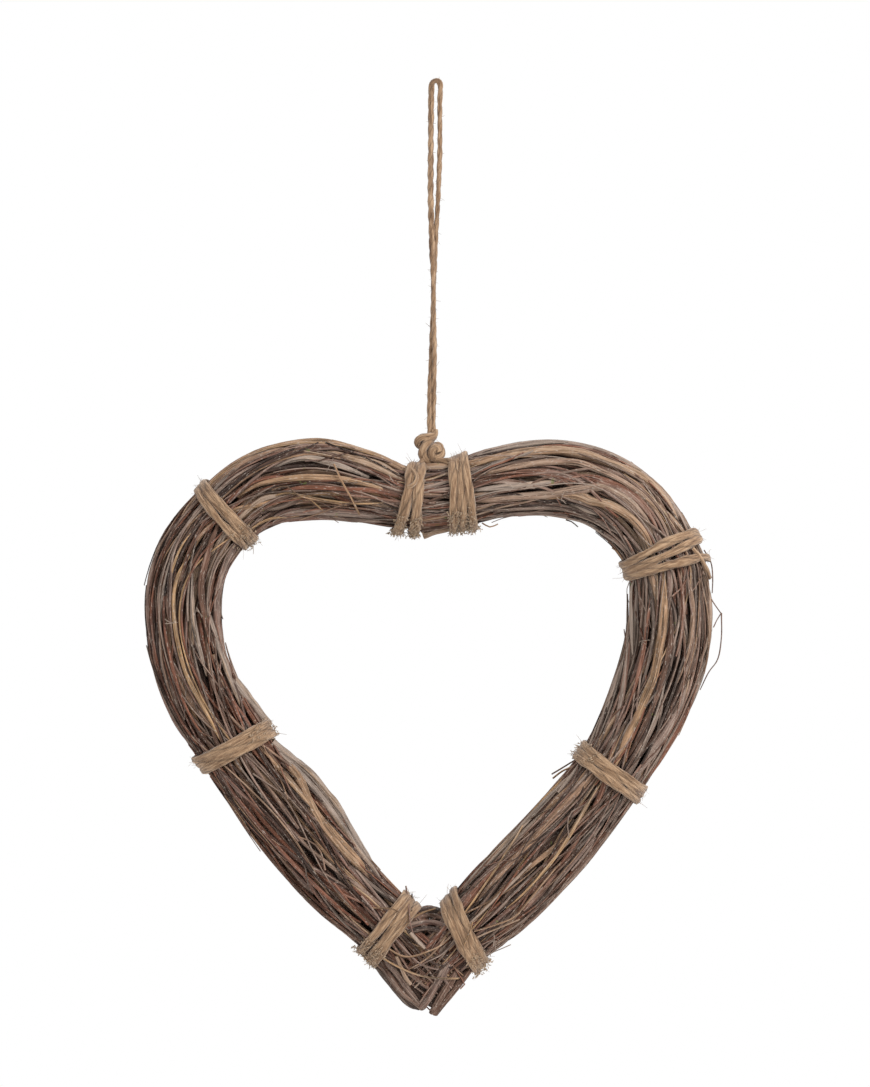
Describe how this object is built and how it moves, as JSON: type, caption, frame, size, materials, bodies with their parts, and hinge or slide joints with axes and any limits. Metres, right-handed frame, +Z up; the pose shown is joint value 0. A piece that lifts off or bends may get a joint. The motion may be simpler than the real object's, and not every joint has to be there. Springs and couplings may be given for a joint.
{
  "type": "heart ornament",
  "caption": "Hanging heart made of a bundle of bent twigs bound with jute twine, on a long twine loop.",
  "frame": {"origin": "inside of the hanging loop's top, where it hangs", "axes": "+Z up, the front faces -Y, +X to the right as seen from the front"},
  "size_m": [0.3388, 0.0488, 0.5614],
  "materials": {
    "bark": "matt dry bark",
    "jute": "matt fibrous twine"
  },
  "bodies": {
    "root": {"stem_left_01": "bark", "stem_left_02": "bark", "stem_left_03": "bark", "stem_left_04": "bark", "stem_left_05": "bark", "stem_left_06": "bark", "stem_left_07": "bark", "stem_left_08": "bark", "stem_left_09": "bark", "stem_left_10": "bark", "stem_left_11": "bark", "stem_left_12": "bark", "stem_left_13": "bark", "stem_left_14": "bark", "stem_left_15": "bark", "stem_left_16": "bark", "stem_left_17": "bark", "stem_left_18": "bark", "stem_left_19": "bark", "stem_right_01": "bark", "stem_right_02": "bark", "stem_right_03": "bark", "stem_right_04": "bark", "stem_right_05": "bark", "stem_right_06": "bark", "stem_right_07": "bark", "stem_right_08": "bark", "stem_right_09": "bark", "stem_right_10": "bark", "stem_right_11": "bark", "stem_right_12": "bark", "stem_right_13": "bark", "stem_right_14": "bark", "stem_right_15": "bark", "stem_right_16": "bark", "stem_right_17": "bark", "stem_right_18": "bark", "stem_right_19": "bark", "binding_top_left": "jute", "binding_top_right": "jute", "binding_upper_left": "jute", "binding_upper_right": "jute", "binding_lower_left": "jute", "binding_lower_right": "jute", "binding_bottom_left": "jute", "binding_bottom_right": "jute", "hanging_knot": "jute", "hanging_loop": "jute"}
  },
  "joints": []
}
